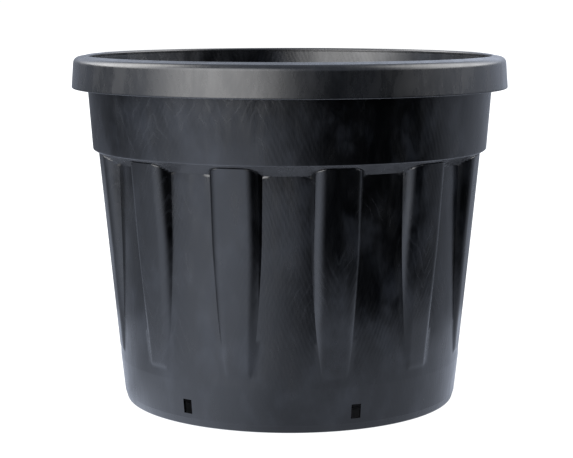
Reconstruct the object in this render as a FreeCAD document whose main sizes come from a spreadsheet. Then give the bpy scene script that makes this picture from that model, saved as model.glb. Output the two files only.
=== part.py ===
import FreeCAD, Part
import math
import os

import Sketcher

# Heavy-duty round plant container, about 50 litres, injection-moulded in one shot.
# The moulding is divided at its own creases into named zones that meet face to face.
# Millimetres. The origin is the centre of the standing face, and +Z is up.
# The front (-Y) is the middle of a recessed panel.

# ---------------------------------------------------------------- driving dimensions
DIMENSIONS = [
    # (alias, value, meaning)
    ("wall", 3.0, "wall thickness"),
    ("skirt_top", 397.0, "standing face to the top of the rim skirt"),
    ("mouth_rise", 2.3, "how much higher the rim's top is at the mouth than at the skirt"),
    ("rim_radius", 251.2, "outer radius at the rim skirt's lower edge"),
    ("skirt_depth", 35.5, "height of the turned-down skirt"),
    ("skirt_lean", 2.7, "how much narrower the skirt is at its top than at its lower edge"),
    ("land_width", 8.1, "top of the rim, from the mouth to the skirt"),
    ("rim_rounding", 7.2, "radius of the rim's outer top edge"),
    ("mouth_rounding", 2.4, "radius of the mouth's edge"),
    ("lip_rounding", 1.4, "radius of the skirt's lower edge"),
    ("collar_top_radius", 235.2, "outer radius of the collar under the rim"),
    ("collar_foot_radius", 227.8, "outer radius of the collar's lower edge"),
    ("collar_foot_height", 292.0, "height of the collar's lower edge"),
    ("collar_rounding", 1.8, "radius of the collar's lower edge"),
    ("return_width", 1.1, "stretch of the slope that belongs to the collar"),
    ("ledge_lift", 1.7, "how far the slope's inner side lies above its outer side"),
    ("parting_height", 289.5, "height on the slope where the fluted wall meets the shoulder"),
    ("crown_radius", 221.7, "outer radius of the raised panels' faces at that height"),
    ("recess_top_radius", 206.0, "outer radius of the recessed panels at their top"),
    ("recess_top_height", 279.0, "height of the recessed panels' top edge"),
    ("runout_radius", 199.0, "outer radius where the flutes run out"),
    ("runout_height", 50.0, "height where the flutes run out"),
    ("panel_count", 12, "number of raised panels"),
    ("panel_half_width", 24.3, "half width of a raised panel's face"),
    ("panel_straight_from", 155.0, "distance up the slope above which a panel's sides are straight"),
    ("panel_bend_radius", 625.0, "radius of the bend where a panel starts to narrow"),
    ("panel_bend_length", 62.5, "length of that bend along the slope"),
    ("panel_tip_half_width", 12.6, "half width of a raised panel's lower end"),
    ("panel_tip_start", 7.0, "distance up the slope from the run-out to a panel's lower end"),
    ("panel_tip_rise", 0.4, "how proud the raised panels' faces would be at the run-out"),
    ("panel_corner", 6.5, "radius of a raised panel's upper corners"),
    ("panel_draft", 25.0, "draft angle of a raised panel's sides, in degrees"),
    ("boss_depth", 16.0, "how deep a panel's boss is rooted below its face"),
    ("boss_proud", 3.0, "how far a boss runs past its face before it is trimmed"),
    ("hub_margin", 2.0, "how far the bosses' hub lies inside the recessed panels"),
    ("foot_top_radius", 194.6, "outer radius at the top of the foot ring"),
    ("foot_height", 9.0, "height of the foot ring"),
    ("foot_radius", 191.9, "outer radius of the foot ring at the standing face"),
    ("foot_inner_radius", 187.0, "inner radius of the foot ring"),
    ("foot_rounding", 1.6, "radius of the foot ring's lower edge"),
    ("floor_thickness", 3.0, "thickness of the floor"),
    ("slot_width", 11.0, "width of a drain slot"),
    ("slot_height", 16.0, "height of a drain slot"),
    ("slot_sill", 13.9, "height of a drain slot's lower edge"),
    ("slot_left_angle", -33.6, "angle from the front to the left slot of a pair, in degrees"),
    ("slot_right_angle", 22.4, "angle from the front to the right slot of a pair, in degrees"),
    ("slot_pairs", 3, "number of pairs of drain slots"),
    ("drain_radius", 7.0, "radius of a floor drain hole"),
    ("drain_outer_circle", 135.0, "radius of the outer circle of drain holes"),
    ("drain_inner_circle", 82.0, "radius of the inner circle of drain holes"),
    ("drain_outer_count", 12, "holes on the outer circle"),
    ("drain_inner_count", 6, "holes on the inner circle"),
    ("gate_radius", 12.0, "radius of the centre hole"),
    ("rib_width", 3.0, "thickness of a floor rib"),
    ("rib_clearance", 1.0, "height of the floor ribs above the ground"),
    ("rib_count", 12, "number of radial floor ribs"),
    ("hub_radius", 40.0, "outer radius of the ribs' hub ring"),
]

FIRST_ROW = 2
BOSS_SPREAD = 1.1034          # lateral thickness of a drafted side over its true thickness
CUT_REACH = 30.0              # how far past the wall a slot's cutter runs
FULL_TURN = 360.0

doc = FreeCAD.newDocument("plant_container")


class Size:
    """A length as both its value and the sheet expression that gives it."""

    def __init__(self, value, text):
        self.value = float(value)
        self.text = text

    @staticmethod
    def of(number):
        """Any plain number as a Size."""
        return number if isinstance(number, Size) else Size(number, repr(float(number)))

    def _joined(self, other, sign, value):
        return Size(value, "({} {} {})".format(self.text, sign, other.text))

    def __add__(self, other):
        other = Size.of(other)
        return self._joined(other, "+", self.value + other.value)

    def __sub__(self, other):
        other = Size.of(other)
        return self._joined(other, "-", self.value - other.value)

    def __mul__(self, other):
        other = Size.of(other)
        return self._joined(other, "*", self.value * other.value)

    def __truediv__(self, other):
        other = Size.of(other)
        return self._joined(other, "/", self.value / other.value)

    def tangent(self):
        """The tangent of this angle, in degrees."""
        return Size(math.tan(math.radians(self.value)), "tan({})".format(self.text))

    def angle_of_slope(self):
        """The angle in degrees whose tangent this is."""
        return Size(math.degrees(math.atan(self.value)), "atan({})".format(self.text))


def make_sheet():
    """Write the driving dimensions into the document's sheet."""
    sheet = doc.addObject("Spreadsheet::Sheet", "dims")
    sheet.Label = "dims"
    sheet.set("A1", "dimension")
    sheet.set("B1", "value")
    sheet.set("C1", "meaning")
    for row, (alias, value, meaning) in enumerate(DIMENSIONS, start=FIRST_ROW):
        sheet.set("A{}".format(row), alias)
        sheet.set("B{}".format(row), str(value))
        sheet.setAlias("B{}".format(row), alias)
        sheet.set("C{}".format(row), meaning)
    doc.recompute()
    return sheet


class Dims:
    """The sheet's cells as Size values, by their aliases."""

    def __init__(self, sheet):
        for alias, _, _ in DIMENSIONS:
            setattr(self, alias, Size(sheet.get(alias), "dims." + alias))


dims = Dims(make_sheet())
ZERO = Size.of(0)


# ------------------------------------------------------------------- sketch and body helpers
def bind(target, path, size):
    """Drive one property of a document object from the sheet."""
    target.setExpression(path, size.text)


def origin_plane(body, role):
    """One of a body's own origin planes or axes."""
    return next(item for item in body.Origin.OriginFeatures if item.Role == role)


def new_body(label):
    """An empty PartDesign body."""
    body = doc.addObject("PartDesign::Body", label + "_body")
    body.Label = label
    return body


def new_sketch(body, name, role):
    """An empty sketch on one of the body's origin planes."""
    sketch = body.newObject("Sketcher::SketchObject", name)
    sketch.AttachmentSupport = [(origin_plane(body, role), "")]
    sketch.MapMode = "FlatFace"
    return sketch


def pin_coordinate(sketch, kind, geometry, end, size):
    """Hold one coordinate of a vertex at a driven distance from the sketch's origin."""
    if size.value == 0:
        axis = -2 if kind == "DistanceX" else -1
        sketch.addConstraint(Sketcher.Constraint("PointOnObject", geometry, end, axis))
        return
    index = sketch.addConstraint(Sketcher.Constraint(kind, -1, 1, geometry, end, size.value))
    bind(sketch, "Constraints[{}]".format(index), size)


def arc_between(start, finish, radius):
    """The shorter convex arc from start to finish of an outline that runs anticlockwise."""
    chord = finish - start
    across = FreeCAD.Vector(-chord.y, chord.x, 0)
    across.normalize()
    reach = math.sqrt(max(radius ** 2 - (chord.Length / 2) ** 2, 0))
    centre = (start + finish) / 2 + across * reach
    first = math.atan2(start.y - centre.y, start.x - centre.x)
    last = math.atan2(finish.y - centre.y, finish.x - centre.x)
    if last < first:
        last += 2 * math.pi
    circle = Part.Circle(centre, FreeCAD.Vector(0, 0, 1), radius)
    return Part.ArcOfCircle(circle, first, last)


def add_outline(sketch, corners):
    """Draw a closed outline, anticlockwise, with every corner driven from the sheet.

    A corner is (x, y), or (x, y, radius) where the edge that leaves it is a convex arc.
    """
    places = [FreeCAD.Vector(corner[0].value, corner[1].value, 0) for corner in corners]
    edges = []
    for index, corner in enumerate(corners):
        start = places[index]
        finish = places[(index + 1) % len(places)]
        if len(corner) > 2:
            edges.append(sketch.addGeometry(arc_between(start, finish, corner[2].value)))
        else:
            edges.append(sketch.addGeometry(Part.LineSegment(start, finish)))
    for index, edge in enumerate(edges):
        following = edges[(index + 1) % len(edges)]
        sketch.addConstraint(Sketcher.Constraint("Coincident", edge, 2, following, 1))
    for edge, corner in zip(edges, corners):
        pin_coordinate(sketch, "DistanceX", edge, 1, corner[0])
        pin_coordinate(sketch, "DistanceY", edge, 1, corner[1])
        if len(corner) > 2:
            index = sketch.addConstraint(Sketcher.Constraint("Radius", edge, corner[2].value))
            bind(sketch, "Constraints[{}]".format(index), corner[2])


def add_circle(sketch, radius, offset=ZERO):
    """Draw a driven circle at a driven distance along the sketch's Y axis."""
    centre = FreeCAD.Vector(0, offset.value, 0)
    circle = sketch.addGeometry(Part.Circle(centre, FreeCAD.Vector(0, 0, 1), radius.value))
    pin_coordinate(sketch, "DistanceX", circle, 3, ZERO)
    pin_coordinate(sketch, "DistanceY", circle, 3, offset)
    index = sketch.addConstraint(Sketcher.Constraint("Radius", circle, radius.value))
    bind(sketch, "Constraints[{}]".format(index), radius)


def revolve(body, corners):
    """Turn an outline of (radius, height) corners once round the body's Z axis."""
    sketch = new_sketch(body, body.Label + "_section", "XZ_Plane")
    add_outline(sketch, corners)
    feature = body.newObject("PartDesign::Revolution", body.Label + "_turned")
    feature.Profile = sketch
    feature.ReferenceAxis = (origin_plane(body, "Z_Axis"), [""])
    feature.Angle = FULL_TURN
    body.Tip = feature
    return feature


def round_circles(body, base, places, radius):
    """Round the circular edges of a turned body that pass through (radius, height) places."""
    doc.recompute()
    names = []
    for number, edge in enumerate(base.Shape.Edges, start=1):
        if not isinstance(edge.Curve, Part.Circle):
            continue
        for place in places:
            near_radius = math.isclose(edge.Curve.Radius, place[0].value, abs_tol=0.01)
            near_height = math.isclose(edge.Curve.Center.z, place[1].value, abs_tol=0.01)
            if near_radius and near_height:
                names.append("Edge{}".format(number))
    if len(names) != len(places):
        raise ValueError("{}: {} edges for {} places".format(body.Label, len(names), len(places)))
    fillet = body.newObject("PartDesign::Fillet", base.Name + "_rounded")
    fillet.Base = (base, names)
    fillet.Radius = radius.value
    bind(fillet, "Radius", radius)
    body.Tip = fillet
    return fillet


def pattern_round(body, originals, count):
    """Repeat features evenly round the body's Z axis."""
    pattern = body.newObject("PartDesign::PolarPattern", body.Label + "_pattern")
    pattern.Originals = originals
    pattern.Axis = (origin_plane(body, "Z_Axis"), [""])
    pattern.Angle = FULL_TURN
    pattern.Occurrences = int(count.value)
    bind(pattern, "Occurrences", count)
    body.Tip = pattern
    return pattern


def cut_outwards(body, sketch, name, reach):
    """Pocket from the sketch along its own normal."""
    pocket = body.newObject("PartDesign::Pocket", name)
    pocket.Profile = sketch
    pocket.Type = "Length"
    pocket.Length = reach.value
    bind(pocket, "Length", reach)
    pocket.Reversed = True
    body.Tip = pocket
    return pocket


# ------------------------------------------------------------------------------- the rim
def inner_collar_radius():
    """Radius of the mouth, where the collar's inner face meets the rim."""
    return dims.collar_top_radius - dims.wall


def skirt_start_radius():
    """Radius where the rim's top ends and the skirt begins."""
    return inner_collar_radius() + dims.land_width


def make_rim_land():
    """Top of the rim: it climbs a little to the mouth, whose edge is rounded."""
    body = new_body("rim_land")
    underside = dims.skirt_top - dims.wall
    mouth_corner = (inner_collar_radius(), dims.skirt_top + dims.mouth_rise)
    turned = revolve(body, [
        (inner_collar_radius(), underside),
        (skirt_start_radius(), underside),
        (skirt_start_radius(), dims.skirt_top),
        mouth_corner,
    ])
    round_circles(body, turned, [mouth_corner], dims.mouth_rounding)
    return body


def make_rim_skirt():
    """Turned-down outer lip: it flares a little and leaves a grip channel behind it."""
    body = new_body("rim_skirt")
    underside = dims.skirt_top - dims.wall
    lower_edge = dims.skirt_top - dims.skirt_depth
    outer_top = (dims.rim_radius - dims.skirt_lean, dims.skirt_top)
    inner_top = (dims.rim_radius - dims.skirt_lean - dims.wall, underside)
    lip_inner = (dims.rim_radius - dims.wall, lower_edge)
    lip_outer = (dims.rim_radius, lower_edge)
    turned = revolve(body, [
        (skirt_start_radius(), underside),
        inner_top,
        lip_inner,
        lip_outer,
        outer_top,
        (skirt_start_radius(), dims.skirt_top),
    ])
    outside = round_circles(body, turned, [outer_top], dims.rim_rounding)
    inside = round_circles(body, outside, [inner_top], dims.rim_rounding - dims.wall)
    round_circles(body, inside, [lip_inner, lip_outer], dims.lip_rounding)
    return body


# ------------------------------------------------------------------- collar and shoulder
def ledge_slope():
    """Rise over run of the sloping step, from the recessed panels to the collar."""
    rise = dims.collar_foot_height - dims.recess_top_height
    return rise / (dims.collar_foot_radius - dims.recess_top_radius)


def ledge_lift(wall):
    """How far the slope's side at this depth into the wall lies above its outer side."""
    return wall * (dims.ledge_lift / dims.wall)


def ledge_radius(height, wall):
    """Radius of the slope at a height: its outer side for no wall, else its inner side."""
    climb = height - dims.recess_top_height - ledge_lift(wall)
    return dims.recess_top_radius - wall + climb / ledge_slope()


def collar_return():
    """Outer end of the slope's upper stretch, which belongs to the collar."""
    drop = ledge_slope() * dims.return_width
    return (dims.collar_foot_radius - dims.return_width, dims.collar_foot_height - drop)


def collar_inner_foot():
    """Inner crease between the collar and the slope."""
    return (dims.collar_foot_radius - dims.wall, dims.collar_foot_height + dims.ledge_lift)


def make_collar_band():
    """Plain tapered upper wall, from the slope to the rim."""
    body = new_body("collar_band")
    top = dims.skirt_top - dims.wall
    lower_edge = (dims.collar_foot_radius, dims.collar_foot_height)
    turned = revolve(body, [
        collar_inner_foot(),
        collar_return(),
        lower_edge,
        (dims.collar_top_radius, top),
        (inner_collar_radius(), top),
    ])
    round_circles(body, turned, [lower_edge], dims.collar_rounding)
    return body


def make_shoulder_ring():
    """Sloping step between the collar and the tops of the raised panels."""
    body = new_body("shoulder_ring")
    revolve(body, [
        (ledge_radius(dims.parting_height, dims.wall), dims.parting_height),
        (ledge_radius(dims.parting_height, ZERO), dims.parting_height),
        collar_return(),
        collar_inner_foot(),
    ])
    return body


# ----------------------------------------------------------------------- the fluted wall
def place_boss_sketch(sketch):
    """Lay a raised panel's sketch parallel to its face, at the root of its boss."""
    tip_radius = dims.runout_radius + dims.panel_tip_rise
    slope = (dims.crown_radius - tip_radius) / (dims.parting_height - dims.runout_height)
    lean = slope.angle_of_slope()
    distance = tip_radius - dims.boss_depth
    sketch.AttachmentOffset = FreeCAD.Placement(
        FreeCAD.Vector(0, dims.runout_height.value, distance.value),
        FreeCAD.Rotation(FreeCAD.Vector(1, 0, 0), lean.value))
    bind(sketch, "AttachmentOffset.Base.y", dims.runout_height)
    bind(sketch, "AttachmentOffset.Base.z", distance)
    bind(sketch, "AttachmentOffset.Rotation.Angle", lean)


def mirrored(corners):
    """Close a right-hand half outline with its mirror image, keeping it anticlockwise."""
    left = []
    for index in reversed(range(len(corners))):
        place = corners[index]
        corner = [ZERO - place[0], place[1]]
        if index > 0 and len(corners[index - 1]) > 2:
            corner.append(corners[index - 1][2])
        left.append(tuple(corner))
    return list(corners) + left


def boss_corners(inset):
    """A raised panel's outline at the root of its boss, pulled in by inset."""
    spread = dims.boss_depth * dims.panel_draft.tangent() - inset
    top = dims.parting_height - dims.runout_height + spread
    side = dims.panel_half_width + spread
    corner = dims.panel_corner + spread
    bend_depth = dims.panel_bend_length * dims.panel_bend_length / (dims.panel_bend_radius * 2)
    bend_start = dims.panel_straight_from - dims.panel_bend_length
    return mirrored([
        (dims.panel_tip_half_width + spread, dims.panel_tip_start - spread),
        (side - bend_depth, bend_start, dims.panel_bend_radius),
        (side, dims.panel_straight_from),
        (side, top - corner, corner),
        (side - corner, top),
    ])


def make_boss_star(label, wall):
    """A hub inside the wall with a raised panel's boss on it, repeated all the way round."""
    body = new_body(label + "_star")
    hub_foot = dims.runout_radius - wall - dims.hub_margin
    hub_head = dims.recess_top_radius - wall - dims.hub_margin
    revolve(body, [
        (ZERO, dims.runout_height),
        (hub_foot, dims.runout_height),
        (hub_head, dims.recess_top_height),
        (hub_head, dims.parting_height),
        (ZERO, dims.parting_height),
    ])
    sketch = new_sketch(body, label + "_panel", "XZ_Plane")
    place_boss_sketch(sketch)
    add_outline(sketch, boss_corners(wall * BOSS_SPREAD))
    boss = body.newObject("PartDesign::Pad", label + "_boss")
    boss.Profile = sketch
    reach = dims.boss_depth + dims.boss_proud
    boss.Length = reach.value
    bind(boss, "Length", reach)
    boss.TaperAngle = -dims.panel_draft.value
    bind(boss, "TaperAngle", ZERO - dims.panel_draft)
    body.Tip = boss
    pattern_round(body, [boss], dims.panel_count)
    half_pitch = FULL_TURN / dims.panel_count.value / 2
    body.Placement.Rotation = FreeCAD.Rotation(FreeCAD.Vector(0, 0, 1), half_pitch)
    return body


def make_flute_form(label, wall):
    """Filled form of the fluted wall: its outside for no wall, else its hollow."""
    core = new_body(label + "_core")
    revolve(core, [
        (ZERO, dims.runout_height),
        (dims.runout_radius - wall, dims.runout_height),
        (dims.recess_top_radius - wall, dims.recess_top_height + ledge_lift(wall)),
        (ledge_radius(dims.parting_height, wall), dims.parting_height),
        (ZERO, dims.parting_height),
    ])
    faces = doc.addObject("Part::Cone", label + "_faces")
    for path, size in (
            ("Radius1", dims.runout_radius + dims.panel_tip_rise - wall),
            ("Radius2", dims.crown_radius - wall),
            ("Height", dims.parting_height - dims.runout_height),
            ("Placement.Base.z", dims.runout_height)):
        bind(faces, path, size)
    panels = doc.addObject("Part::Common", label + "_panels")
    panels.Base = make_boss_star(label, wall)
    panels.Tool = faces
    form = doc.addObject("Part::Fuse", label + "_form")
    form.Base = core
    form.Tool = panels
    return form


def make_fluted_wall():
    """Main wall: recessed panels between hollow raised panels that run out downwards."""
    wall = doc.addObject("Part::Cut", "fluted_wall_shell")
    wall.Label = "fluted_wall"
    wall.Base = make_flute_form("outside", ZERO)
    wall.Tool = make_flute_form("hollow", dims.wall)
    return wall


# -------------------------------------------------------------------- foot and drain slots
def make_slot(body, name, angle):
    """One upright drain slot through the wall, at an angle from the front."""
    sketch = new_sketch(body, name + "_outline", "XZ_Plane")
    sketch.AttachmentOffset = FreeCAD.Placement(
        FreeCAD.Vector(0, 0, 0), FreeCAD.Rotation(FreeCAD.Vector(0, 1, 0), angle.value))
    bind(sketch, "AttachmentOffset.Rotation.Angle", angle)
    half = dims.slot_width / 2
    head = dims.slot_sill + dims.slot_height
    add_outline(sketch, [
        (ZERO - half, dims.slot_sill),
        (half, dims.slot_sill),
        (half, head),
        (ZERO - half, head),
    ])
    return cut_outwards(body, sketch, name, dims.runout_radius + CUT_REACH)


def make_foot_band():
    """Plain lower wall, with pairs of drain slots just above the floor."""
    body = new_body("foot_band")
    turned = revolve(body, [
        (dims.foot_top_radius - dims.wall, dims.foot_height),
        (dims.foot_top_radius, dims.foot_height),
        (dims.runout_radius, dims.runout_height),
        (dims.runout_radius - dims.wall, dims.runout_height),
    ])
    left = make_slot(body, "left_slot", dims.slot_left_angle)
    right = make_slot(body, "right_slot", dims.slot_right_angle)
    pattern = pattern_round(body, [left, right], dims.slot_pairs)
    doc.recompute()
    slot_volume = dims.slot_width.value * dims.slot_height.value * dims.wall.value
    slot_total = slot_volume * dims.slot_pairs.value * 2
    removed = turned.Shape.Volume - pattern.Shape.Volume
    if not math.isclose(removed, slot_total, rel_tol=0.05):
        raise ValueError("the drain slots removed {:.0f} of {:.0f} mm3".format(removed, slot_total))
    return body


def make_foot_ring():
    """Chamfered ring that the container stands on, with a seat for the floor."""
    body = new_body("foot_ring")
    seat = dims.foot_height - dims.floor_thickness
    floor_radius = dims.foot_top_radius - dims.wall
    lower_edge = (dims.foot_radius, ZERO)
    turned = revolve(body, [
        (dims.foot_inner_radius, ZERO),
        lower_edge,
        (dims.foot_top_radius, dims.foot_height),
        (floor_radius, dims.foot_height),
        (floor_radius, seat),
        (dims.foot_inner_radius, seat),
    ])
    round_circles(body, turned, [lower_edge], dims.foot_rounding)
    return body


# ------------------------------------------------------------------------------ the floor
def lift_sketch(sketch, height):
    """Raise a sketch on the XY plane to a driven height."""
    sketch.AttachmentOffset.Base.z = height.value
    bind(sketch, "AttachmentOffset.Base.z", height)


def pad_up(body, sketch, name, height):
    """Extrude a level sketch upwards."""
    pad = body.newObject("PartDesign::Pad", name)
    pad.Profile = sketch
    pad.Length = height.value
    bind(pad, "Length", height)
    body.Tip = pad
    return pad


def make_drain(body, name, floor_top, radius, circle):
    """One round hole through the floor."""
    sketch = new_sketch(body, name + "_outline", "XY_Plane")
    lift_sketch(sketch, floor_top)
    add_circle(sketch, radius, circle)
    pocket = body.newObject("PartDesign::Pocket", name)
    pocket.Profile = sketch
    pocket.Length = dims.floor_thickness.value
    bind(pocket, "Length", dims.floor_thickness)
    body.Tip = pocket
    return pocket


def make_floor_plate():
    """Flat floor, with two circles of drain holes and a centre hole."""
    body = new_body("floor_plate")
    underside = dims.foot_height - dims.floor_thickness
    disc = new_sketch(body, "floor_outline", "XY_Plane")
    lift_sketch(disc, underside)
    add_circle(disc, dims.foot_top_radius - dims.wall)
    pad_up(body, disc, "floor_disc", dims.floor_thickness)
    make_drain(body, "gate_hole", dims.foot_height, dims.gate_radius, ZERO)
    rings = [
        ("outer_drain", dims.drain_outer_circle, dims.drain_outer_count),
        ("inner_drain", dims.drain_inner_circle, dims.drain_inner_count),
    ]
    for name, circle, count in rings:
        drain = make_drain(body, name, dims.foot_height, dims.drain_radius, circle)
        pattern_round(body, [drain], count)
    half_pitch = FULL_TURN / dims.drain_outer_count.value / 2
    body.Placement.Rotation = FreeCAD.Rotation(FreeCAD.Vector(0, 0, 1), half_pitch)
    return body


def make_floor_ribs():
    """Stiffening ribs under the floor: an outer ring, a hub ring and radial ribs."""
    body = new_body("floor_ribs")
    height = dims.foot_height - dims.floor_thickness - dims.rib_clearance
    hoops = [("outer_hoop", dims.foot_inner_radius), ("hub_hoop", dims.hub_radius)]
    ring_section = []
    for name, radius in hoops:
        sketch = new_sketch(body, name + "_outline", "XY_Plane")
        lift_sketch(sketch, dims.rib_clearance)
        add_circle(sketch, radius)
        add_circle(sketch, radius - dims.rib_width)
        ring_section.append((name, sketch))
    spoke = new_sketch(body, "spoke_outline", "XY_Plane")
    lift_sketch(spoke, dims.rib_clearance)
    half = dims.rib_width / 2
    add_outline(spoke, [
        (ZERO - half, dims.hub_radius - half),
        (half, dims.hub_radius - half),
        (half, dims.foot_inner_radius - half),
        (ZERO - half, dims.foot_inner_radius - half),
    ])
    pad_up(body, ring_section[0][1], ring_section[0][0], height)
    rib = pad_up(body, spoke, "spoke", height)
    pattern_round(body, [rib], dims.rib_count)
    pad_up(body, ring_section[1][1], ring_section[1][0], height)
    return body


# --------------------------------------------------------------------------- build and write
def check_document(parts):
    """Stop if any object failed, or any sub-part is empty, broken or several solids."""
    for item in doc.Objects:
        if "Invalid" in item.State or "Error" in item.State:
            raise RuntimeError("{} failed: {}".format(item.Name, item.State))
    for part in parts:
        shape = part.Shape
        if shape.isNull() or not shape.isValid() or len(shape.Solids) != 1:
            raise RuntimeError("{} is not one valid solid".format(part.Label))


def write_parts(parts):
    """Write each sub-part to its own file, named by its label."""
    os.makedirs("parts", exist_ok=True)
    for part in parts:
        part.Shape.exportStep("parts/{}.step".format(part.Label))
        print("{:16s} {:10.1f} mm3".format(part.Label, part.Shape.Volume))


sub_parts = [
    make_rim_land(),
    make_rim_skirt(),
    make_collar_band(),
    make_shoulder_ring(),
    make_fluted_wall(),
    make_foot_band(),
    make_foot_ring(),
    make_floor_plate(),
    make_floor_ribs(),
]
doc.recompute()
check_document(sub_parts)
write_parts(sub_parts)
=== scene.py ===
import math

import bmesh
import bpy
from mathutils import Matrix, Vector


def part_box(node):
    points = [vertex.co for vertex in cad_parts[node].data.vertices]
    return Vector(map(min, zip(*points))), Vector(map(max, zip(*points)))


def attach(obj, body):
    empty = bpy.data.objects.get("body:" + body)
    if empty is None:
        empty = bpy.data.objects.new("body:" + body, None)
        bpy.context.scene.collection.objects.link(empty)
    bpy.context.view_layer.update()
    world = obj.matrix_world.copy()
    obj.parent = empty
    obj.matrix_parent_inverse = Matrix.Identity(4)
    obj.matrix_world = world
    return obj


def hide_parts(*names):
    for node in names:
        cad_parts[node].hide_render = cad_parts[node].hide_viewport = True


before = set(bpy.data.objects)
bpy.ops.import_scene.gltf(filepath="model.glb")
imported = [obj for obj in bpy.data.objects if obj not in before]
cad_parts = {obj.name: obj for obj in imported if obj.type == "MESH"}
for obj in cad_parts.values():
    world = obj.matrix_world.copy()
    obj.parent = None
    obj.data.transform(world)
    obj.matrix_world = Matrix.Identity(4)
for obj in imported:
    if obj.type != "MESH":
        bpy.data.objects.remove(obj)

# A large black moulded plant container in a white studio.
# Metres. The CAD frame gives the sizes; each piece stands for one zone of the moulding.

MM = 0.001
FULL_TURN = 2 * math.pi

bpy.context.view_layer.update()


# --------------------------------------------------------------------- sizes from the frame
def foot_of(node):
    """Lowest height of a CAD node."""
    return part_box(node)[0].z


def top_of(node):
    """Highest point of a CAD node."""
    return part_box(node)[1].z


def reach_of(node):
    """Largest radius of a CAD node."""
    low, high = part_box(node)
    return max(high.x, high.y, -low.x, -low.y)


WALL = top_of("rim_skirt") - foot_of("rim_land")
TOP = top_of("rim_skirt")
LAND_RADIUS = reach_of("rim_land")
LIP_RADIUS = reach_of("rim_skirt")
LIP_FOOT = foot_of("rim_skirt")
COLLAR_RADIUS = reach_of("collar_band")
COLLAR_TOP = top_of("collar_band")
PARTING = foot_of("shoulder_ring")
RUNOUT = foot_of("fluted_wall")
RUNOUT_RADIUS = reach_of("foot_band")
FOOT_TOP = top_of("foot_ring")
FOOT_RADIUS = reach_of("foot_ring")
FLOOR_UNDERSIDE = foot_of("floor_plate")
RIB_RADIUS = reach_of("floor_ribs")

# Sizes that no box shows.
LIP_LEAN = 2.7 * MM               # how much narrower the lip is at its top
LIP_ROUNDING = 1.4 * MM
RIM_ROUNDING = 7.2 * MM
MOUTH_RISE = 2.3 * MM             # how much the rim climbs from the skirt to the mouth
MOUTH_ROUNDING = 2.4 * MM
COLLAR_FOOT = 292.0 * MM
COLLAR_FOOT_RADIUS = 227.8 * MM
COLLAR_ROUNDING = 1.8 * MM
COLLAR_RETURN = 1.1 * MM
LEDGE_LIFT = 1.7 * MM             # the slope's inner side lies this much above its outer side
RECESS_TOP = 279.0 * MM
RECESS_TOP_RADIUS = 206.0 * MM
FACE_TOP_RADIUS = 221.7 * MM      # raised panels' faces at the parting height
TIP_RISE = 0.4 * MM
PANELS = 12
PANEL_HALF_WIDTH = 24.2 * MM
PANEL_CORNER = 5.0 * MM
PANEL_BEND_TOP = RUNOUT + 165.0 * MM
PANEL_BEND_LENGTH = 31.5 * MM
PANEL_BEND_RADIUS = 700.0 * MM
PANEL_TIP = RUNOUT + 7.0 * MM
PANEL_TIP_HALF_WIDTH = 17.5 * MM
DRAFT = math.radians(25.0)
EDGE_ROUNDING = 14.0 * MM         # radius of a raised panel's long edges
END_ROUNDING = 1.2 * MM           # and of its upper edge, under the slope
GROOVE_DEPTH = 1.3 * MM           # fine groove where the slope meets a panel's upper edge
GROOVE_HALF = 1.0 * MM
FOOT_LOW_RADIUS = 191.9 * MM
FOOT_ROUNDING = 1.6 * MM
SLOT_HALF_WIDTH = 5.5 * MM
SLOT_SILL = 13.9 * MM
SLOT_HEAD = 29.9 * MM
SLOT_PAIRS = 3
SLOT_ANGLES = (-33.6, 22.4)       # degrees from the front, one pair

TURN_COLUMNS = 384
ARC_STEP = math.radians(9.0)
LONGEST_RUN = 14.0 * MM
SUPPORT = 0.7 * MM                # a ring this close to each end of a long run keeps it flat
SHARP = math.radians(38.0)


# ------------------------------------------------------------------------------ mesh tools
def mesh_object(name, vertices, faces):
    """A smooth-shaded closed mesh with sharp corners kept."""
    mesh = bpy.data.meshes.new(name)
    mesh.from_pydata(vertices, [], faces)
    cleaner = bmesh.new()
    cleaner.from_mesh(mesh)
    bmesh.ops.recalc_face_normals(cleaner, faces=cleaner.faces)
    cleaner.to_mesh(mesh)
    cleaner.free()
    mesh.shade_smooth()
    mesh.set_sharp_from_angle(angle=SHARP)
    piece = bpy.data.objects.new(name, mesh)
    bpy.context.scene.collection.objects.link(piece)
    return piece


def arc_points(before, corner, after, radius):
    """Points of the round that joins two runs meeting at a corner."""
    towards = (before - corner).normalized()
    away = (after - corner).normalized()
    half = towards.angle(away) / 2
    tangent = radius / math.tan(half)
    centre = corner + (towards + away).normalized() * (radius / math.sin(half))
    start = corner + towards * tangent - centre
    sweep = start.angle_signed(corner + away * tangent - centre)
    steps = max(2, math.ceil(abs(sweep) / ARC_STEP))
    points = []
    for step in range(steps + 1):
        turn = -sweep * step / steps
        cosine = math.cos(turn)
        sine = math.sin(turn)
        points.append(centre + Vector((
            start.x * cosine - start.y * sine,
            start.x * sine + start.y * cosine)))
    return points


def section_path(corners):
    """A closed section through (radius, height) corners, each with an optional rounding."""
    places = [Vector(corner[:2]) for corner in corners]
    rounded = []
    for index, corner in enumerate(corners):
        if len(corner) > 2:
            before = places[index - 1]
            after = places[(index + 1) % len(places)]
            rounded.extend(arc_points(before, places[index], after, corner[2]))
        else:
            rounded.append(places[index])
    path = []
    for index, point in enumerate(rounded):
        following = rounded[(index + 1) % len(rounded)]
        run = (following - point).length
        path.append(point)
        if run > 4 * SUPPORT:
            inner_run = run - 2 * SUPPORT
            pieces = math.ceil(inner_run / LONGEST_RUN)
            direction = (following - point) / run
            for step in range(pieces + 1):
                path.append(point + direction * (SUPPORT + inner_run * step / pieces))
    return path


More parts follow.
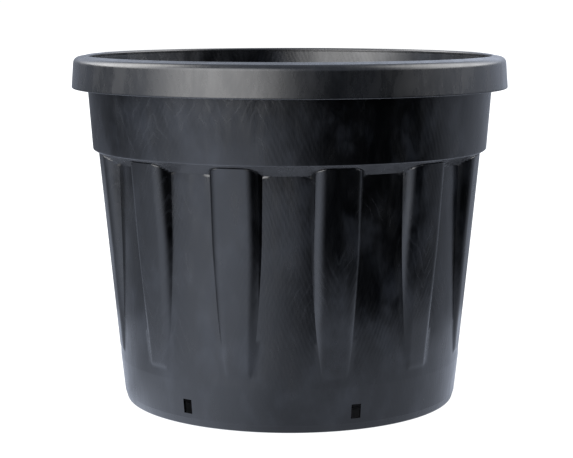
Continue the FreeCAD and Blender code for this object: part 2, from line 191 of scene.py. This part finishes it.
def turned_piece(name, corners):
    """A solid of revolution about Z."""
    path = section_path(corners)
    count = len(path)
    vertices = []
    faces = []
    for column in range(TURN_COLUMNS):
        angle = FULL_TURN * column / TURN_COLUMNS
        for point in path:
            vertices.append((point.x * math.sin(angle), -point.x * math.cos(angle), point.y))
        here = column * count
        there = (column + 1) % TURN_COLUMNS * count
        for row in range(count):
            above = (row + 1) % count
            faces.append((here + row, there + row, there + above, here + above))
    return mesh_object(name, vertices, faces)


def shell_piece(name, outer, inner, is_hole=lambda row, column: False):
    """A closed wall between an outer and an inner grid of rings, listed from the foot up."""
    rows = len(outer)
    columns = len(outer[0])
    vertices = [point for ring in outer for point in ring]
    vertices += [point for ring in inner for point in ring]
    back = rows * columns
    faces = []

    def at(row, column, side):
        return side * back + row * columns + column % columns

    def solid(row, column):
        return 0 <= row < rows - 1 and not is_hole(row, column % columns)

    for row in range(rows):
        for column in range(columns):
            if solid(row, column):
                for side in (0, 1):
                    faces.append((at(row, column, side), at(row, column + 1, side),
                                  at(row + 1, column + 1, side), at(row + 1, column, side)))
            if solid(row, column) != solid(row - 1, column):
                faces.append((at(row, column, 0), at(row, column + 1, 0),
                              at(row, column + 1, 1), at(row, column, 1)))
            if row < rows - 1 and solid(row, column) != solid(row, column - 1):
                faces.append((at(row, column, 0), at(row + 1, column, 0),
                              at(row + 1, column, 1), at(row, column, 1)))
    return mesh_object(name, vertices, faces)


def on_ring(radius, angle, height):
    """A point at an angle from the front, seen from above turning towards +X."""
    return (radius * math.sin(angle), -radius * math.cos(angle), height)


# ------------------------------------------------------------------------- rim and collar
def make_rim_flat():
    """Top of the rim: it climbs a little to its rounded mouth edge."""
    mouth = COLLAR_RADIUS - WALL
    return turned_piece("rim_flat", [
        (mouth, TOP - WALL),
        (LAND_RADIUS, TOP - WALL),
        (LAND_RADIUS, TOP),
        (mouth, TOP + MOUTH_RISE, MOUTH_ROUNDING),
    ])


def make_rim_lip():
    """Turned-down lip, open below so that fingers hook behind it."""
    return turned_piece("rim_lip", [
        (LAND_RADIUS, TOP - WALL),
        (LIP_RADIUS - LIP_LEAN - WALL, TOP - WALL, RIM_ROUNDING - WALL),
        (LIP_RADIUS - WALL, LIP_FOOT, LIP_ROUNDING),
        (LIP_RADIUS, LIP_FOOT, LIP_ROUNDING),
        (LIP_RADIUS - LIP_LEAN, TOP, RIM_ROUNDING),
        (LAND_RADIUS, TOP),
    ])


def ledge_slope():
    """Rise over run of the sloping step."""
    return (COLLAR_FOOT - RECESS_TOP) / (COLLAR_FOOT_RADIUS - RECESS_TOP_RADIUS)


def ledge_radius(height, depth):
    """Radius of the slope at a height, that deep into the wall."""
    lift = LEDGE_LIFT * depth / WALL
    return RECESS_TOP_RADIUS - depth + (height - RECESS_TOP - lift) / ledge_slope()


def collar_return():
    """Outer end of the slope's upper stretch, which belongs to the collar."""
    return (COLLAR_FOOT_RADIUS - COLLAR_RETURN, COLLAR_FOOT - COLLAR_RETURN * ledge_slope())


def make_collar():
    """Plain tapered upper wall."""
    return turned_piece("collar", [
        (COLLAR_FOOT_RADIUS - WALL, COLLAR_FOOT + LEDGE_LIFT),
        collar_return(),
        (COLLAR_FOOT_RADIUS, COLLAR_FOOT, COLLAR_ROUNDING),
        (COLLAR_RADIUS, COLLAR_TOP),
        (COLLAR_RADIUS - WALL, COLLAR_TOP),
    ])


def make_shoulder():
    """Sloping step between the collar and the panels."""
    return turned_piece("shoulder", [
        (ledge_radius(PARTING, WALL), PARTING),
        (ledge_radius(PARTING, 0), PARTING),
        collar_return(),
        (COLLAR_FOOT_RADIUS - WALL, COLLAR_FOOT + LEDGE_LIFT),
    ])


# --------------------------------------------------------------------------- fluted wall
def mix(low, high, share):
    """Straight-line blend of two numbers."""
    return low + (high - low) * share


def clamp(value, low=0.0, high=1.0):
    """The value, held between two limits."""
    return max(low, min(high, value))


def up_share(height):
    """0 at the run-out and 1 at the parting height."""
    return clamp((height - RUNOUT) / (PARTING - RUNOUT))


def face_radius(height, depth):
    """Radius of the raised panels' faces."""
    return mix(RUNOUT_RADIUS + TIP_RISE, FACE_TOP_RADIUS, up_share(height)) - depth


def base_radius(height, depth):
    """Radius of the recessed panels and of the slope above them."""
    share = (height - RUNOUT) / (RECESS_TOP - RUNOUT)
    recess = mix(RUNOUT_RADIUS, RECESS_TOP_RADIUS, share) - depth
    return max(recess, ledge_radius(height, depth))


def panel_half_width(height):
    """Half width of a raised panel's face: rounded at the top, then bending in, then straight."""
    into_corner = clamp(height - (PARTING - PANEL_CORNER), 0.0, PANEL_CORNER)
    corner = PANEL_CORNER - math.sqrt(PANEL_CORNER ** 2 - into_corner ** 2)
    drop = max(PANEL_BEND_TOP - height, 0)
    if drop <= PANEL_BEND_LENGTH:
        return PANEL_HALF_WIDTH - corner - drop ** 2 / (2 * PANEL_BEND_RADIUS)
    bend = PANEL_BEND_LENGTH ** 2 / (2 * PANEL_BEND_RADIUS)
    share = (drop - PANEL_BEND_LENGTH) / (PANEL_BEND_TOP - PANEL_BEND_LENGTH - RUNOUT)
    return mix(PANEL_HALF_WIDTH - bend, PANEL_TIP_HALF_WIDTH, share)


def side_fall(gap, rounding):
    """How far a panel's side has fallen at a distance outside the edge of its face."""
    lean = math.pi / 2 - DRAFT
    start = rounding * math.tan(lean / 2)
    into = gap + start
    if into <= 0:
        return 0.0
    if into < rounding * math.sin(lean):
        return rounding - math.sqrt(rounding ** 2 - into ** 2)
    return gap / math.tan(DRAFT)


def panel_inset(depth):
    """How much narrower a panel's face is, that deep into the wall."""
    return depth / math.cos(DRAFT) - depth * math.tan(DRAFT)


def end_fall(height, depth):
    """How far a panel has fallen towards its upper or lower end."""
    above = height - (PARTING - panel_inset(depth))
    return math.hypot(side_fall(above, END_ROUNDING), side_fall(PANEL_TIP - height, EDGE_ROUNDING))


def groove(height, panel, base):
    """Depth of the fine groove where the slope meets a raised panel's upper edge."""
    if height < RECESS_TOP:
        return 0.0
    return GROOVE_DEPTH * clamp(1.0 - abs(panel - base) / GROOVE_HALF)


def wall_radius(across, height, depth):
    """Radius of the fluted wall at a distance across from a raised panel's centre line."""
    side = abs(across) - panel_half_width(height) + panel_inset(depth)
    base = base_radius(height, depth)
    fall = math.hypot(side_fall(side, EDGE_ROUNDING), end_fall(height, depth))
    panel = face_radius(height, depth) - fall
    cut = groove(height, panel, base) if depth == 0 else 0.0
    return max(base, panel) - cut


FACE_SHARES = (0.0, 0.25, 0.45, 0.6, 0.72, 0.82, 0.9, 0.96)
EDGE_STEPS = 10
RECESS_STEPS = 6


def fall_reach(fall):
    """Distance across in which a panel's rounded side falls by that much."""
    lean = math.pi / 2 - DRAFT
    curved = EDGE_ROUNDING * (1 - math.cos(lean))
    if fall <= curved:
        return math.sqrt(EDGE_ROUNDING ** 2 - (EDGE_ROUNDING - fall) ** 2)
    return EDGE_ROUNDING * math.sin(lean) + (fall - curved) * math.tan(DRAFT)


def panel_columns(height, depth):
    """Angles from a raised panel's centre line to the middle of the recess beside it."""
    radius = face_radius(height, depth)
    half = panel_half_width(height) - panel_inset(depth)
    start = EDGE_ROUNDING * math.tan((math.pi / 2 - DRAFT) / 2)
    edge_in = half - start
    fall = max(radius - base_radius(min(height, RECESS_TOP), depth), 0)
    root = edge_in + fall_reach(fall)
    places = [edge_in * share for share in FACE_SHARES]
    places += [mix(edge_in, root, step / EDGE_STEPS) for step in range(EDGE_STEPS)]
    angles = [math.asin(place / radius) for place in places]
    last = math.asin(root / radius)
    middle = FULL_TURN / PANELS / 2
    angles += [mix(last, middle, step / RECESS_STEPS) for step in range(RECESS_STEPS + 1)]
    return angles


def flute_ring(height, depth):
    """One ring of the fluted wall, all the way round."""
    half = panel_columns(height, depth)
    pitch = [-angle for angle in reversed(half[1:])] + half[:-1]
    radius = face_radius(height, depth)
    ring = []
    for panel in range(PANELS):
        centre = FULL_TURN * (panel + 0.5) / PANELS
        for angle in pitch:
            across = radius * math.sin(angle)
            ring.append(on_ring(wall_radius(across, height, depth), centre + angle, height))
    return ring


def flute_heights():
    """Heights of the rings: close together at the slope and the panels' corners."""
    bands = [(RUNOUT, 74 * MM, 2.0 * MM), (74 * MM, 262 * MM, 6 * MM),
             (262 * MM, RECESS_TOP, 1.7 * MM), (RECESS_TOP, 284 * MM, 1.0 * MM),
             (284 * MM, PARTING, 0.4 * MM)]
    heights = []
    for low, high, step in bands:
        count = math.ceil((high - low) / step)
        heights += [mix(low, high, index / count) for index in range(count)]
    return heights + [PARTING]


def make_flutes():
    """Wall of raised and recessed panels, hollow behind the raised ones."""
    heights = flute_heights()
    outer = [flute_ring(height, 0) for height in heights]
    inner = [flute_ring(height, WALL) for height in heights]
    return shell_piece("flutes", outer, inner)


# ------------------------------------------------------------------------- foot and slots
def lower_radius(height):
    """Outer radius of the plain lower wall."""
    return mix(FOOT_RADIUS, RUNOUT_RADIUS, (height - FOOT_TOP) / (RUNOUT - FOOT_TOP))


def slot_edges():
    """The angles of every drain slot's two sides."""
    half = math.asin(SLOT_HALF_WIDTH / lower_radius(SLOT_SILL))
    edges = []
    for pair in range(SLOT_PAIRS):
        for place in SLOT_ANGLES:
            centre = math.radians(place) + FULL_TURN * pair / SLOT_PAIRS
            edges.append((centre - half, centre + half))
    return sorted(edges)


def make_foot_wall():
    """Plain lower wall with the drain slots."""
    edges = slot_edges()
    angles = []
    slot_columns = set()
    for index, (left, right) in enumerate(edges):
        following = edges[(index + 1) % len(edges)][0]
        if following < right:
            following += FULL_TURN
        slot_columns.add(len(angles))
        angles.append(left)
        steps = round((following - right) / FULL_TURN * TURN_COLUMNS)
        angles += [mix(right, following, step / steps) for step in range(steps)]
    heights = [FOOT_TOP, FOOT_TOP + SUPPORT, SLOT_SILL, SLOT_HEAD,
               mix(SLOT_HEAD, RUNOUT, 0.5), RUNOUT - SUPPORT, RUNOUT]
    slot_row = heights.index(SLOT_SILL)
    rings = []
    for depth in (0, WALL):
        rings.append([[on_ring(lower_radius(height) - depth, angle, height) for angle in angles]
                      for height in heights])
    return shell_piece("foot_wall", rings[0], rings[1],
                       lambda row, column: row == slot_row and column in slot_columns)


def make_foot():
    """Chamfered ring that the container stands on."""
    inner = FOOT_RADIUS - WALL
    return turned_piece("foot", [
        (RIB_RADIUS, 0),
        (FOOT_LOW_RADIUS, 0, FOOT_ROUNDING),
        (FOOT_RADIUS, FOOT_TOP),
        (inner, FOOT_TOP),
        (inner, FLOOR_UNDERSIDE),
        (RIB_RADIUS, FLOOR_UNDERSIDE),
    ])


# ------------------------------------------------------------------------------ materials
class NodeTree:
    """A node tree, with short calls for the nodes that the materials share."""

    def __init__(self, tree, coordinates):
        self.tree = tree
        source = tree.nodes.new("ShaderNodeTexCoord")
        self.place = source.outputs[coordinates]
        self.facing = source.outputs["Normal"]

    def node(self, kind, inputs, **settings):
        """A node with its settings made and its inputs set or linked."""
        made = self.tree.nodes.new("ShaderNode" + kind)
        for key, value in settings.items():
            setattr(made, key, value)
        for key, value in inputs.items():
            if isinstance(value, bpy.types.NodeSocket):
                self.tree.links.new(value, made.inputs[key])
            else:
                made.inputs[key].default_value = value
        return made

    def math(self, operation, *values, clamped=False):
        """The result of a Math node."""
        made = self.node("Math", dict(enumerate(values)), operation=operation)
        made.use_clamp = clamped
        return made.outputs[0]

    def stretched(self, x, y, z):
        """The object's coordinates, scaled on each axis."""
        made = self.node("Mapping", {"Vector": self.place, "Scale": (x, y, z)})
        return made.outputs["Vector"]

    def noise(self, vector, scale, detail=2.0, roughness=0.5, distortion=0.0):
        """Fractal noise, about 0 to 1."""
        made = self.node("TexNoise", {"Vector": vector, "Scale": scale, "Detail": detail,
                                      "Roughness": roughness, "Distortion": distortion})
        return made.outputs[0]

    def band(self, value, low, high, out_low=0.0, out_high=1.0):
        """The value moved from one range to another, smoothly and within limits."""
        made = self.node("MapRange", {"Value": value, "From Min": low, "From Max": high,
                                      "To Min": out_low, "To Max": out_high},
                         interpolation_type="SMOOTHSTEP")
        return made.outputs["Result"]

    def around_and_up(self):
        """The angle from the front, in radians, and the height, in metres."""
        axes = self.node("SeparateXYZ", {"Vector": self.place}).outputs
        front = self.math("MULTIPLY", axes["Y"], -1.0)
        return self.math("ARCTAN2", axes["X"], front), axes["Z"]


class Shader(NodeTree):
    """A node material."""

    def __init__(self, name):
        self.material = bpy.data.materials.new(name)
        self.material.use_nodes = True
        super().__init__(self.material.node_tree, "Object")
        self.surface = self.tree.nodes["Principled BSDF"]

    def join(self, target, source):
        """Link a value to one of the surface's inputs."""
        self.tree.links.new(source, self.surface.inputs[target])


WAVES_ROUND = 252                # diagonal mould waves round the wall, a multiple of 12
WAVE_LEAN = 0.42                 # their lean off the vertical, as a slope
MID_RADIUS = 0.21
WAVE_DEPTH = 0.014 * MM
STREAK_DEPTH = 0.12 * MM
SWELL_DEPTH = 0.9 * MM
CHEVRONS_ROUND = 24              # flow-mark chevrons round the wall
MARKS_PER_METRE = 55.0           # flow marks up the wall
PAINTED_UNDERSIDE_LIGHT = (0.04, 0.043, 0.05, 1.0)   # painted light: a paler colour on faces that look down, standing in for light thrown up by the floor


def diagonal_waves(shader, side, warp):
    """Fine waves leaning one way, with their phase stirred by the warp."""
    around, up = shader.around_and_up()
    turn = shader.math("MULTIPLY", around, float(WAVES_ROUND))
    climb = shader.math("MULTIPLY", up, side * WAVE_LEAN * WAVES_ROUND / MID_RADIUS)
    phase = shader.math("ADD", shader.math("ADD", turn, climb), warp)
    return shader.math("SINE", phase)


def wall_relief(shader, strength):
    """Height of the wall's fine unevenness, in metres."""
    warp = shader.math("MULTIPLY", shader.noise(shader.stretched(1, 1, 0.4), 38.0, 3.0), 14.0)
    left = diagonal_waves(shader, 1.0, warp)
    right = diagonal_waves(shader, -1.0, warp)
    patches = shader.band(shader.noise(shader.stretched(1, 1, 0.5), 16.0, 2.0), 0.35, 0.65)
    crossed = shader.math("ADD", shader.math("MULTIPLY", left, patches),
                          shader.math("MULTIPLY", right, shader.math("SUBTRACT", 1.0, patches)))
    fine = shader.math("MULTIPLY", crossed, WAVE_DEPTH * strength)
    streaks = shader.math("MULTIPLY", shader.noise(shader.stretched(1, 1, 0.16), 120.0, 4.0, 0.6),
                          STREAK_DEPTH * strength)
    swell = shader.math("MULTIPLY", shader.noise(shader.place, 14.0, 2.0), SWELL_DEPTH * strength)
    return shader.math("ADD", shader.math("ADD", fine, streaks), swell)


def flow_marks(shader, amount):
    """Faint pale chevrons, in patches, 0 to the amount."""
    around, up = shader.around_and_up()
    zigzag = shader.math("PINGPONG", shader.math("MULTIPLY", around, CHEVRONS_ROUND / math.pi), 1.0)
    stir = shader.math("MULTIPLY", shader.noise(shader.place, 30.0, 3.0), 2.2)
    rise = shader.math("MULTIPLY", up, MARKS_PER_METRE)
    steps = shader.math("ADD", shader.math("ADD", rise, stir),
                        shader.math("MULTIPLY", zigzag, -2.6))
    line = shader.math("ABSOLUTE", shader.math("SUBTRACT", shader.math("FRACT", steps), 0.5))
    thin = shader.band(line, 0.0, 0.16, 1.0, 0.0)
    patches = shader.band(shader.noise(shader.place, 11.0, 2.0), 0.52, 0.68)
    return shader.math("MULTIPLY", shader.math("MULTIPLY", thin, patches), amount)


def plastic(name, dark, pale, gloss, relief, marks):
    """Black polyolefin: mottled colour, uneven gloss, mould waves and faint flow marks.

    Faces that look down, such as the step, are painted paler. That is painted light, standing in for
    the light the floor throws up on them; it is not a colour of the plastic.
    """
    shader = Shader(name)
    mottle = shader.noise(shader.stretched(1, 1, 0.6), 26.0, 5.0, 0.6)
    flow = flow_marks(shader, marks)
    share = shader.math("ADD", shader.band(mottle, 0.42, 0.72), flow, clamped=True)
    # The mix node has several sockets of each name; its colours are inputs 6 and 7, output 2.
    tint = shader.node("Mix", {0: share, 6: (*dark, 1.0), 7: (*pale, 1.0)}, data_type="RGBA")
    # Painted light: faces that look down are mixed, in patches, towards a paler colour that stands in
    # for light from the floor.
    facing = shader.node("SeparateXYZ", {"Vector": shader.facing}).outputs["Z"]
    looks_down = shader.band(facing, -0.8, -0.55, 1.0, 0.0)
    patchy = shader.band(mottle, 0.2, 0.6, 0.6, 1.0)
    painted_underside_light = shader.node("Mix", {0: shader.math("MULTIPLY", looks_down, patchy),
                                    6: tint.outputs[2], 7: PAINTED_UNDERSIDE_LIGHT}, data_type="RGBA")
    shader.join("Base Color", painted_underside_light.outputs[2])
    uneven = shader.noise(shader.stretched(1, 1, 0.3), 60.0, 4.0, 0.6)
    rough = shader.band(uneven, 0.25, 0.8, gloss - 0.07, gloss + 0.08)
    shader.join("Roughness", shader.math("ADD", rough, shader.math("MULTIPLY", flow, 0.22)))
    bump = shader.node("Bump", {"Strength": 1.0, "Distance": 1.0,
                                "Height": wall_relief(shader, relief)})
    shader.join("Normal", bump.outputs["Normal"])
    shader.surface.inputs["IOR"].default_value = 1.5
    return shader.material


# ------------------------------------------------------------------------ studio and camera
# The floor and surround are plain only to the camera. What reflections see is shaped by
# direction, so that the light and dark round the wall fall as they do in the photograph.
REFLECTION_ONLY = ("visible_camera", "visible_diffuse", "visible_shadow", "visible_transmission",
                   "visible_volume_scatter")
WHITE = (1.0, 1.0, 1.0, 1.0)
COOL = (0.84, 0.92, 1.10, 1.0)
WARM = (1.0, 0.985, 0.965, 1.0)
FLOOR_TINT = (0.12, 0.12, 0.12, 1.0)
FLOOR_GLOW = 0.93
FLOOR_HALF = 12.0
FLOOR_DROP = 0.4 * MM
REFLECTED_HALF = 6.0
REFLECTED_DROP = 2.0 * MM
SURROUND_GLOW = 1.05             # the surround, as the camera sees it
WINDOW_GLOW = 6.2
LEFT_STRIP_GLOW = 8.0
RIGHT_STRIP_GLOW = 6.0


def plane(name, half, height):
    """A level square, centred under the container."""
    corners = [(-half, -half, 0), (half, -half, 0), (half, half, 0), (-half, half, 0)]
    mesh = bpy.data.meshes.new(name)
    mesh.from_pydata(corners, [], [(0, 1, 2, 3)])
    made = bpy.data.objects.new(name, mesh)
    made.location = (0, 0, height)
    bpy.context.scene.collection.objects.link(made)
    return made


def make_floor():
    """Pale floor, hidden from gloss. It glows a little, so that it stays white to its edge."""
    floor = plane("floor", FLOOR_HALF, -FLOOR_DROP)
    shader = Shader("pale_floor")
    shader.surface.inputs["Base Color"].default_value = FLOOR_TINT
    shader.surface.inputs["Roughness"].default_value = 0.9
    shader.surface.inputs["Emission Color"].default_value = WHITE
    shader.surface.inputs["Emission Strength"].default_value = FLOOR_GLOW
    floor.data.materials.append(shader.material)
    floor.visible_glossy = False


def degrees_band(shader, around, low, high, out_low=0.0, out_high=1.0):
    """A band over an angle from the front, given in degrees."""
    return shader.band(around, math.radians(low), math.radians(high), out_low, out_high)


def sector(shader, around, rise, fall):
    """Light over a range of angles in degrees: rise is a whole band, fall only two angles."""
    return shader.math("MULTIPLY", degrees_band(shader, around, *rise),
                       degrees_band(shader, around, *fall, 1.0, 0.0))


def make_reflected_floor():
    """What the glossy wall sees of the floor: bright to the front left, dark to the front right."""
    glow = plane("reflected_floor", REFLECTED_HALF, -REFLECTED_DROP)
    shader = Shader("reflected_floor")
    around, _ = shader.around_and_up()
    axes = shader.node("SeparateXYZ", {"Vector": shader.place}).outputs
    squares = [shader.math("MULTIPLY", axes[axis], axes[axis]) for axis in ("X", "Y")]
    distance = shader.math("SQRT", shader.math("ADD", *squares))
    far_turn = shader.band(distance, 1.6, 2.1, 0.0, math.radians(42))
    turned = shader.math("ADD", around, far_turn)
    lit = shader.math("MULTIPLY", degrees_band(shader, around, -110, -45, 0.4, 1.9),
                      degrees_band(shader, turned, -35, 26, 1.0, 0.0))
    left = shader.math("MULTIPLY", lit, shader.band(distance, 1.5, 2.3, 1.0, 0.45))
    right = degrees_band(shader, around, 72, 100, 0.0, 0.4)
    near = shader.band(distance, 0.45, 0.72, 0.9, 0.0)
    level = shader.math("MAXIMUM", shader.math("ADD", left, right), near)
    emission = shader.node("Emission", {"Color": COOL, "Strength": level})
    output = shader.tree.nodes["Material Output"]
    shader.tree.links.new(emission.outputs[0], output.inputs["Surface"])
    glow.data.materials.append(shader.material)
    for flag in REFLECTION_ONLY:
        setattr(glow, flag, False)


def surround_level(shader, around, up):
    """Strength of the cool surround: its two sides, dark to the front right, and the roof."""
    left = sector(shader, around, (-110, -75, 0.4, 1.0), (-40, 24))
    right = degrees_band(shader, around, 52, 94, 0.0, 0.75)
    overhead = shader.band(up, 0.45, 0.85, 1.0, 0.3)
    sides = shader.math("MULTIPLY", shader.math("ADD", left, right), overhead)
    roof = shader.math("MULTIPLY", shader.band(up, 0.12, 0.26), shader.band(up, 0.5, 0.85, 0.7, 0.6))
    return shader.math("ADD", sides, roof)


def window_level(shader, around, up):
    """Strength of the warm window to the front left."""
    sill = shader.math("MULTIPLY", shader.band(up, -0.25, 0.0), shader.band(up, 0.45, 0.75, 1.0, 0.0))
    pane = sector(shader, around, (-82, -48), (-28, 10))
    return shader.math("MULTIPLY", shader.math("MULTIPLY", sill, pane), WINDOW_GLOW)


def strip_level(shader, around, up):
    """Strength of the warm strips at the two sides."""
    left = sector(shader, around, (-150, -105, 0.0, LEFT_STRIP_GLOW), (-95, -62))
    right = sector(shader, around, (50, 92, 0.0, RIGHT_STRIP_GLOW), (110, 150))
    height = shader.math("MULTIPLY", shader.band(up, 0.12, 0.24), shader.band(up, 0.75, 0.95, 1.0, 0.0))
    return shader.math("MULTIPLY", shader.math("ADD", left, right), height)


def make_world():
    """White for the camera. Reflections see a window, two side strips and a dark bay."""
    world = bpy.data.worlds.new("studio")
    bpy.context.scene.world = world
    world.use_nodes = True
    tree = world.node_tree
    tree.nodes.clear()
    shader = NodeTree(tree, "Generated")
    around, up = shader.around_and_up()
    warm_level = shader.math("ADD", window_level(shader, around, up),
                             strip_level(shader, around, up))
    cool = shader.node("Background", {"Color": COOL, "Strength": surround_level(shader, around, up)})
    warm = shader.node("Background", {"Color": WARM, "Strength": warm_level})
    both = shader.node("AddShader", {0: cool.outputs[0], 1: warm.outputs[0]})
    white = shader.node("Background", {"Color": WHITE, "Strength": SURROUND_GLOW})
    rays = tree.nodes.new("ShaderNodeLightPath")
    chosen = shader.node("MixShader", {0: rays.outputs["Is Camera Ray"],
                                       1: both.outputs[0], 2: white.outputs[0]})
    output = tree.nodes.new("ShaderNodeOutputWorld")
    tree.links.new(chosen.outputs[0], output.inputs["Surface"])


CAMERA_DISTANCE = 1.853
CAMERA_HEIGHT = 0.463
CAMERA_TURN = math.radians(1.0)      # to the right of the front
CAMERA_PITCH = math.radians(8.26)    # looking down
CAMERA_SHIFT = -0.0056


def make_camera():
    """A long lens a little above the rim, one degree to the right of the front."""
    camera = bpy.data.cameras.new("camera")
    camera.lens = 100.0
    camera.sensor_width = 36.0
    camera.shift_x = CAMERA_SHIFT
    lens = bpy.data.objects.new("camera", camera)
    lens.location = on_ring(CAMERA_DISTANCE, CAMERA_TURN, CAMERA_HEIGHT)
    lens.rotation_euler = (math.pi / 2 - CAMERA_PITCH, 0, CAMERA_TURN)
    bpy.context.scene.collection.objects.link(lens)
    bpy.context.scene.camera = lens


# ---------------------------------------------------------------------------------- build
rim_plastic = plastic("rim_plastic", (0.0008, 0.001, 0.0013), (0.002, 0.0023, 0.003),
                      0.27, 0.35, 0.1)
wall_plastic = plastic("wall_plastic", (0.0004, 0.0005, 0.0007), (0.006, 0.0069, 0.009),
                       0.22, 1.0, 0.25)
base_plastic = plastic("base_plastic", (0.0008, 0.001, 0.0013), (0.004, 0.0044, 0.0056),
                       0.32, 0.8, 0.3)

PIECES = [
    (make_rim_flat, "rim_land", "rim_plastic", rim_plastic),
    (make_rim_lip, "rim_skirt", "rim_plastic", rim_plastic),
    (make_collar, "collar_band", "wall_plastic", wall_plastic),
    (make_shoulder, "shoulder_ring", "wall_plastic", wall_plastic),
    (make_flutes, "fluted_wall", "wall_plastic", wall_plastic),
    (make_foot_wall, "foot_band", "wall_plastic", wall_plastic),
    (make_foot, "foot_ring", "base_plastic", base_plastic),
]
for make, node, slot, finish in PIECES:
    piece = make()
    piece.data.materials.append(finish)
    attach(piece, "root")
    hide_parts(node)
for node in ("floor_plate", "floor_ribs"):
    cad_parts[node].material_slots[0].material = base_plastic

make_floor()
make_reflected_floor()
make_world()
make_camera()

scene = bpy.context.scene
scene.view_settings.view_transform = "Standard"
scene.view_settings.look = "None"
